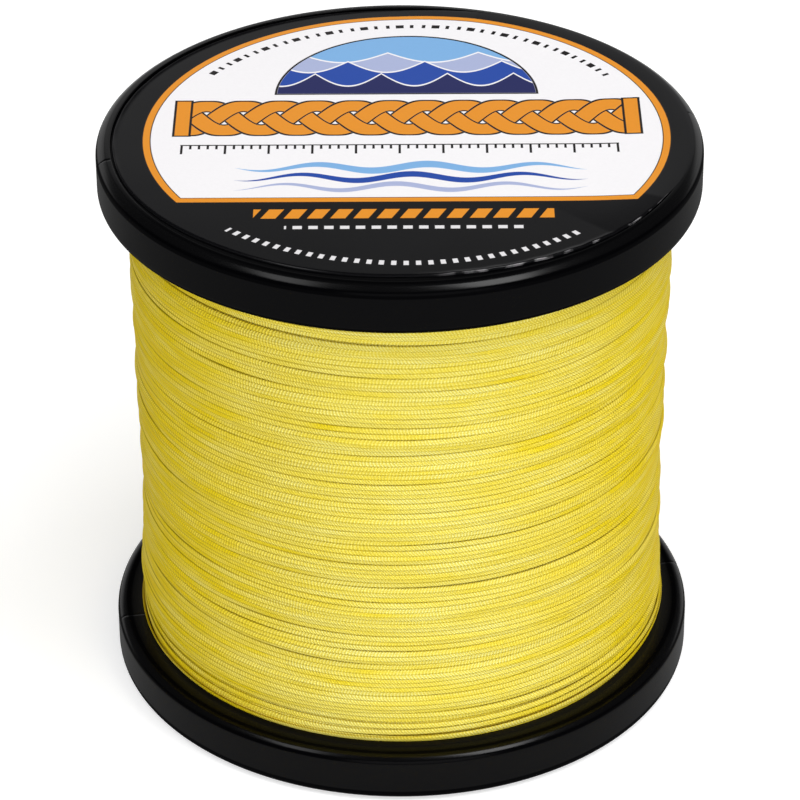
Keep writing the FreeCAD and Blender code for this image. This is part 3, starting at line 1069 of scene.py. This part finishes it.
@dataclass
class Winding:
    """The line between the flanges, laid turn by turn so that later turns ride on earlier ones."""

    bottom: float = 7.25
    top: float = 75.95
    inner: float = 19.05
    mean_radius: float = 37.9
    strand_width: float = 0.87
    strand_height: float = 0.24
    squareness: float = 2.6
    mass_depth: float = 3.2
    turns: int = 90
    layers: int = 5
    steps: int = 144
    corners: int = 10
    cell: float = 0.05
    wander: float = 0.1
    held: float = 0.86
    drift: float = 0.6
    group_held: float = 0.994
    slip: float = 0.06
    slip_range: tuple[float, float] = (1.5, 2.0)
    clearance: float = 0.02
    fade_height: float = 2.5
    steepest: float = 0.45
    seed: int = 5

    def target(self, z: np.ndarray) -> np.ndarray:
        """Outer radius of the winding at a height."""
        radii = {
            7.25: 38.45, 8.5: 38.35, 10.5: 38.2, 15: 38.1, 17: 38.0, 19: 37.75, 24: 37.7, 32: 37.55,
            36: 37.6, 42: 37.75, 50: 37.8, 54: 37.7, 58: 37.9, 62: 38.0, 68: 38.0, 75.95: 38.05,
        }
        return read_off(radii, z)

    def smooth_noise(self, source: np.random.Generator, count: int, spread: float) -> np.ndarray:
        """Random values of unit size, one row for each turn.

        Args:
            source: The random numbers.
            count: How many values.
            spread: Steps along the line over which they stay alike.

        Returns:
            The values.
        """
        even = blurred(source.standard_normal(count), int(spread * 4), spread)
        return (even / even.std()).reshape(-1, self.steps)

    def drifting(self, noise: np.ndarray, size: float, held: float) -> np.ndarray:
        """Drift of each turn.

        Args:
            noise: What each turn adds.
            size: How far the turns stray.
            held: Share of the drift that the next turn keeps.

        Returns:
            The drift, one row for each turn.
        """
        away = np.zeros_like(noise)
        ramp = np.linspace(0, 1, self.steps)
        for turn in range(1, len(noise)):
            gain = ramp if turn == 1 else 1.0
            away[turn] = held * away[turn - 1] + size * math.sqrt(1 - held ** 2) * noise[turn] * gain
        return away

    def heights(self) -> np.ndarray:
        """Height of the line's centre for each turn and step, over all layers."""
        source = np.random.default_rng(self.seed)
        count = self.turns * self.layers * self.steps
        low = self.bottom + self.strand_width / 2 + self.clearance
        high = self.top - self.strand_width / 2 - self.clearance
        share = np.arange(count) / (self.turns * self.steps)
        plain = (low + (high - low) * np.abs((share + 1) % 2 - 1)).reshape(-1, self.steps)
        fine, slow, rare = (self.smooth_noise(source, count, spread) for spread in (5.0, 16.0, 6.0))
        away = self.drifting(fine, self.wander, self.held)
        group = self.drifting(slow, self.drift, self.group_held)
        start, most = self.slip_range
        slips = self.slip * (np.sign(rare) * np.clip(np.abs(rare) - start, 0, most))
        fade = np.clip(np.minimum(plain - low, high - plain) / self.fade_height, 0, 1)
        return np.clip(plain + (away + group + slips) * fade, low, high)

    def lay(self) -> tuple[np.ndarray, np.ndarray, np.ndarray, np.ndarray]:
        """Lays every turn on what is there already.

        Returns:
            The centre's height and radius and the strand's lean for each turn and step,
            and the finished surface's radius for each step and cell of height.
        """
        z = self.heights()
        cells = int(round((self.top - self.bottom) / self.cell))
        levels = self.bottom + (np.arange(cells) + 0.5) * self.cell
        half = int(round(self.strand_width / 2 / self.cell))
        offsets = np.arange(-half, half + 1)
        across = offsets * self.cell
        section = 1 - np.abs(across / (self.strand_width / 2)) ** self.squareness
        crown = self.strand_height * (0.5 + 0.5 * np.clip(section, 0, 1) ** (1 / self.squareness))
        angle = np.arange(self.steps)[:, None] * TURN / self.steps
        surface = 0.1 * np.sin(levels * (TURN / 6.8) + 0.9 * np.sin(angle))
        surface += 0.06 * np.sin(levels * (TURN / 4.3) + 1.7 + 1.3 * np.cos(angle + 1.0))
        rows = np.arange(self.steps)[:, None]
        radius, lean = np.zeros_like(z), np.zeros_like(z)
        for turn, height in enumerate(z):
            column = np.clip(((height - self.bottom) / self.cell).astype(int), half, cells - half - 1)
            taken = (rows, column[:, None] + offsets)
            under = surface[taken]
            rest = np.sort(under, axis=1)[:, len(offsets) // 2:].mean(axis=1)
            rest = 0.3 * rest + 0.7 * blurred(rest, 8, 3.0)
            tilt = ((under - under.mean(axis=1)[:, None]) * across).sum(axis=1) / (across ** 2).sum()
            tilt = np.clip(blurred(tilt, 8, 3.0) * 0.8, -self.steepest, self.steepest)
            laid = rest[:, None] + tilt[:, None] * across + crown
            surface[taken] = np.maximum(under, laid)
            radius[turn] = rest + self.strand_height / 2
            lean[turn] = tilt
        crest = blurred(np.percentile(surface, 85, axis=0), 60, 25.0, "edge")
        shift = self.target(levels) - crest
        radius += np.interp(z, levels, shift)
        radius, lean = (blurred(v.ravel(), 4, 1.5, "edge").reshape(z.shape) for v in (radius, lean))
        return z, radius, lean, surface + shift

    def sweep(self) -> Recipe:
        """Tree that sweeps the flattened braid's section along a line of points."""
        recipe = Recipe("strand_sweep", Width="Float", Height="Float", Corners="Int", Material="Material")
        tree, given = recipe.tree, recipe.given
        curve = tree.output("GeometryNodeMeshToCurve", {"Mesh": given["Geometry"]})
        upright = tree.output("GeometryNodeSetCurveNormal", {"Curve": curve}, mode="Z_UP")
        lean = tree.output("GeometryNodeInputNamedAttribute", {"Name": "lean"}, data_type="FLOAT")
        leaning = tree.output("GeometryNodeSetCurveTilt", {"Curve": upright, "Tilt": lean})
        sockets = {"Resolution": given["Corners"], "Radius": 0.5}
        ring = tree.output("GeometryNodeCurvePrimitiveCircle", sockets)
        where = tree.node("ShaderNodeSeparateXYZ", {0: tree.output("GeometryNodeInputPosition")})
        sockets = {"Geometry": ring, "Name": "across", "Value": Value(tree, where.outputs[1]) * 2.0}
        kept = tree.output("GeometryNodeStoreNamedAttribute", sockets, data_type="FLOAT", domain="POINT")
        size = tree.output("ShaderNodeCombineXYZ", {"X": given["Height"], "Y": given["Width"], "Z": 1.0})
        section = tree.output("GeometryNodeTransform", {"Geometry": kept, "Scale": size})
        sockets = {"Curve": leaning, "Profile Curve": section, "Fill Caps": True}
        tube = tree.output("GeometryNodeCurveToMesh", sockets)
        recipe.end(tree.output("GeometryNodeSetShadeSmooth", {"Geometry": tube}), given["Material"])
        return recipe

    def strand(
        self, name: str, path: Sequence[np.ndarray], start: float, recipe: Recipe, material: Material
    ) -> Piece:
        """Makes one unbroken stretch of line.

        Args:
            name: The piece's name.
            path: Height, radius and lean of each point, up to the next stretch's first.
            start: Length of line before this stretch, in millimetres.
            recipe: The sweep.
            material: The braid.

        Returns:
            The piece.
        """
        z, radius, lean = path
        points = polar(radius, math.pi / 2 + np.arange(len(z)) * TURN / self.steps, z)
        numbers = range(len(points))
        piece = new_mesh(name, points, edges=zip(numbers[:-1], numbers[1:]))
        lengths = np.linalg.norm(np.diff(points, axis=0), axis=1)
        store(piece, "along", np.concatenate([[0], np.cumsum(lengths)]) + start)
        store(piece, "lean", np.arctan(lean))
        width, height = self.strand_width * MM, self.strand_height * MM
        recipe.run(piece, Width=width, Height=height, Corners=self.corners, Material=material)
        self.unwrap(piece)
        return piece

    def unwrap(self, piece: Piece) -> None:
        """Gives a stretch of line a map for baking: half a turn to each row, one row over the other."""
        mesh = piece.data
        vertex = np.empty(len(mesh.loops), dtype=np.int64)
        mesh.loops.foreach_get("vertex_index", vertex)
        sizes = np.empty(len(mesh.polygons), dtype=np.int64)
        mesh.polygons.foreach_get("loop_total", sizes)
        face = np.repeat(np.arange(len(sizes)), sizes)
        starts = np.cumsum(sizes) - sizes
        ring, corner = np.divmod(vertex, self.corners)
        first = np.minimum.reduceat(ring, starts)[face]
        span = (np.maximum.reduceat(corner, starts) - np.minimum.reduceat(corner, starts))[face]
        side = (sizes == 4)[face]
        wraps = side & (span == self.corners - 1)
        corner = np.where(wraps & (corner == 0), self.corners, corner)
        half_turn = self.steps // 2
        rows = int(np.ceil(ring.max() / half_turn))
        row = np.minimum(first // half_turn, rows - 1)
        u = np.where(side, (ring - row * half_turn) / half_turn, 0.0)
        v = (row + 0.06 + 0.88 * corner / self.corners) / rows
        flat = np.stack([0.002 + 0.996 * u, v], axis=1).astype(np.float32)
        mesh.uv_layers.new(name="OFBake").data.foreach_set("uv", flat.ravel())

    def build(self, finish: BraidedLine) -> np.ndarray:
        """Makes the two layers that show, in pieces, and the mass of line under them.

        Args:
            finish: The braid.

        Returns:
            The finished surface's radius for each step and cell of height.
        """
        *laid, surface = self.lay()
        recipe = self.sweep()
        half = self.turns // 2
        for deck, layer in ((Deck.UNDER, self.layers - 2), (Deck.OUTER, self.layers - 1)):
            for number in range(2):
                first = layer * self.turns + number * half
                points = slice(first * self.steps, (first + half) * self.steps + 1)
                path = [values.ravel()[points] for values in laid]
                name = f"line_{deck.value}_turns_{number + 1}"
                start = first * TURN * self.mean_radius
                piece = self.strand(name, path, start, recipe, finish.material())
                finished(piece, "line_outer_turns" if deck is Deck.OUTER else None)
        self.mass(finish)
        return surface

    def mass(self, finish: BraidedLine) -> None:
        """Makes the body of the inner turns, some strands' heights below the outermost ones."""
        levels = np.linspace(self.bottom, self.top, 60)
        side = self.target(levels) - self.mass_depth * self.strand_height
        outline = [(self.inner, self.bottom), *zip(side, levels), (self.inner, self.top)]
        piece = turned("line_inner_mass", outline, np.radians(np.arange(0, 360, 2.5)))
        smooth(piece)
        finished(piece, "line_core", finish)


@dataclass
class EndTape:
    """Clear tab over the free end of the line, draped on the turns at the back."""

    low: float = 63.45
    high: float = 75.45
    middle_degrees: float = 90.0
    arc_degrees: float = 36.0
    thickness: float = 0.1
    gap: float = 0.06
    rows: int = 37
    columns: int = 61

    def build(self, surface: np.ndarray, winding: Winding, finish: ClearTape) -> None:
        """Makes the tab.

        Args:
            surface: The winding's radius for each step and cell of height.
            winding: The winding that the tab lies on.
            finish: The film.
        """
        start = self.middle_degrees - self.arc_degrees / 2
        angles = np.radians(np.linspace(start, start + self.arc_degrees, self.rows))
        heights = np.linspace(self.low, self.high, self.columns)
        step = ((np.degrees(angles) - 90) / 360 * winding.steps).astype(int) % winding.steps
        cell = np.clip(((heights - winding.bottom) / winding.cell).astype(int), 0, surface.shape[1] - 1)
        under = surface[step][:, cell]
        for axis in (0, 1):
            under = np.apply_along_axis(blurred, axis, under, 4, 1.6, "edge")
        far = under + self.gap
        sides = [polar(side, angles[:, None], heights) for side in (far, far + self.thickness)]
        grid = np.arange(far.size).reshape(far.shape)
        sheet = far.size
        faces = []
        for a in grid[:-1, :-1].ravel().tolist():
            b, c, d = a + self.columns, a + self.columns + 1, a + 1
            faces += [(a, d, c, b), (sheet + a, sheet + b, sheet + c, sheet + d)]
        rim = np.concatenate([grid[:, 0], grid[-1, 1:], grid[-2::-1, -1], grid[0, -2:0:-1]]).tolist()
        faces += [(a, b, sheet + b, sheet + a) for a, b in zip(rim, rim[1:] + rim[:1])]
        piece = new_mesh("free_end_tape", np.concatenate(sides), faces)
        smooth(piece, 40.0)
        finished(piece, "end_tape", finish)


@dataclass
class Carried:
    """The frame's own nodes that keep their shape and get a finish."""

    plastic: str = "hub_barrel"
    film: str = "start_tape"

    def build(self, plastic: BlackPlastic, film: ClearTape) -> None:
        """Gives each node its finish."""
        for name, finish in ((self.plastic, plastic), (self.film, film)):
            dress(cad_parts[name].data, finish)
            LOG.info("%s: carried over", name)


@dataclass
class Studio:
    """Pale floor, soft lights and the camera at the photograph's angle."""

    elevation_degrees: float = 31.9
    distance: float = 562.4
    look_height: float = 40.146
    roll: float = -0.0045
    side: float = -0.116
    focal_px: float = 3908.6
    frame_px: int = 800
    sensor: float = 36.0
    lit_height: float = 45.0
    floor_reach: float = 3000.0
    ambient: float = 0.38
    ceiling: float = 0.08
    ceiling_edge: tuple[float, float] = (10.5, 4.75)

    def place(self, name: str, data: bpy.types.ID, axes: tuple, turn: float, place: np.ndarray) -> Piece:
        """Puts a camera or a lamp in the scene.

        Args:
            name: The object's name.
            data: The camera or the lamp.
            axes: Directions of its right and its top before it is turned.
            turn: Its turn about its own axis, in radians.
            place: Where it stands, in metres.

        Returns:
            The object.
        """
        right, top = axes
        rows = np.eye(4)
        rows[:3, 0] = right * math.cos(turn) + top * math.sin(turn)
        rows[:3, 1] = top * math.cos(turn) - right * math.sin(turn)
        rows[:3, 2] = np.cross(right, top)
        rows[:3, 3] = place
        made = bpy.data.objects.new(name, data)
        made.matrix_world = Matrix(rows.tolist())
        bpy.context.scene.collection.objects.link(made)
        return made

    def camera(self) -> None:
        """Places the camera."""
        tilt = math.radians(self.elevation_degrees)
        axes = (np.array([1.0, 0.0, 0.0]), np.array([0.0, math.sin(tilt), math.cos(tilt)]))
        forward = np.array([0.0, math.cos(tilt), -math.sin(tilt)])
        place = np.array([self.side, 0.0, self.look_height]) - forward * self.distance
        data = bpy.data.cameras.new("camera")
        data.sensor_width = self.sensor
        data.lens = self.focal_px / self.frame_px * self.sensor
        data.clip_start = 0.01
        data.clip_end = 50.0
        bpy.context.scene.camera = self.place("camera", data, axes, self.roll, place * MM)

    def lamp(
        self, name: str, place: Sequence[float], size: Sequence[float], power: float, turn: float
    ) -> None:
        """Adds a softbox that faces the spool.

        Args:
            name: The light's name.
            place: Its centre, in metres.
            size: Its size from left to right and the other way, in metres.
            power: Its power in watts.
            turn: Its turn about its own axis, in degrees.
        """
        data = bpy.data.lights.new(name, "AREA")
        data.shape = "RECTANGLE"
        data.size, data.size_y = size
        data.energy = power
        back = np.array(place) - (0.0, 0.0, self.lit_height * MM)
        back /= np.linalg.norm(back)
        right = np.array([1.0, 0.0, 0.0]) - back * back[0]
        right /= np.linalg.norm(right)
        self.place(name, data, (right, np.cross(back, right)), math.radians(turn), place)

    def floor(self, finish: PaleFloor) -> None:
        """Adds the floor."""
        corners = np.array([(-1, -1, 0), (1, -1, 0), (1, 1, 0), (-1, 1, 0)]) * self.floor_reach
        made = new_mesh("floor", corners, [(0, 1, 2, 3)])
        dress(made.data, finish)

    def world(self) -> None:
        """Sets the surround: white where it is seen, pale as light, dark to gloss overhead and in front."""
        world = bpy.data.worlds.new("studio")
        world.use_nodes = True
        tree = Tree(world.node_tree)
        glossy = Value(tree, tree.node("ShaderNodeLightPath").outputs["Is Glossy Ray"])
        toward = tree.node("ShaderNodeTexCoord").outputs["Generated"]
        _, back, up = (Value(tree, out) for out in tree.node("ShaderNodeSeparateXYZ", {0: toward}).outputs)
        over = tree.ramp(up - back, *self.ceiling_edge)
        plain = self.ambient + (1.0 - self.ambient) * tree.seen()
        strength = plain * (1.0 - glossy * over * (1.0 - self.ceiling))
        sockets = {"Color": (1.0, 1.0, 1.0, 1.0), "Strength": strength}
        tree.node("ShaderNodeOutputWorld", {"Surface": tree.output("ShaderNodeBackground", sockets)})
        bpy.context.scene.world = world

    def build(self, finish: PaleFloor) -> None:
        """Sets up everything that isn't the spool."""
        bpy.context.scene.view_settings.view_transform = "Standard"
        self.camera()
        self.floor(finish)
        self.world()
        self.lamp("key", (0.13, -1.13, 0.34), (1.1, 0.6), 8.0, 0.0)
        self.lamp("overhead_left", (-0.49, -0.25, 1.02), (0.25, 0.8), 2.0, -18.0)
        self.lamp("overhead_right", (0.4, -0.25, 1.02), (0.3, 0.8), 5.2, 22.0)


def main() -> None:
    """Builds the spool's pieces in order and dresses them."""
    logging.basicConfig(level=logging.INFO, format="%(name)s: %(message)s")
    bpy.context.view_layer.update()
    plastic, braid, film, tape = BlackPlastic(), BraidedLine(), LabelPrint(), ClearTape()
    handled = BlackPlastic(name="handled_black", gloss=0.17)
    Studio().build(PaleFloor())
    winding = Winding()
    surface = winding.build(braid)
    EndTape().build(surface, winding, tape)
    Flange(End.LOWER).build(handled)
    Flange(End.UPPER).build(plastic)
    Label(End.UPPER).build(film)
    Label(End.LOWER, hole=7.5).build(RingPrint())
    Carried().build(plastic, tape)


if __name__ == "__main__":
    main()
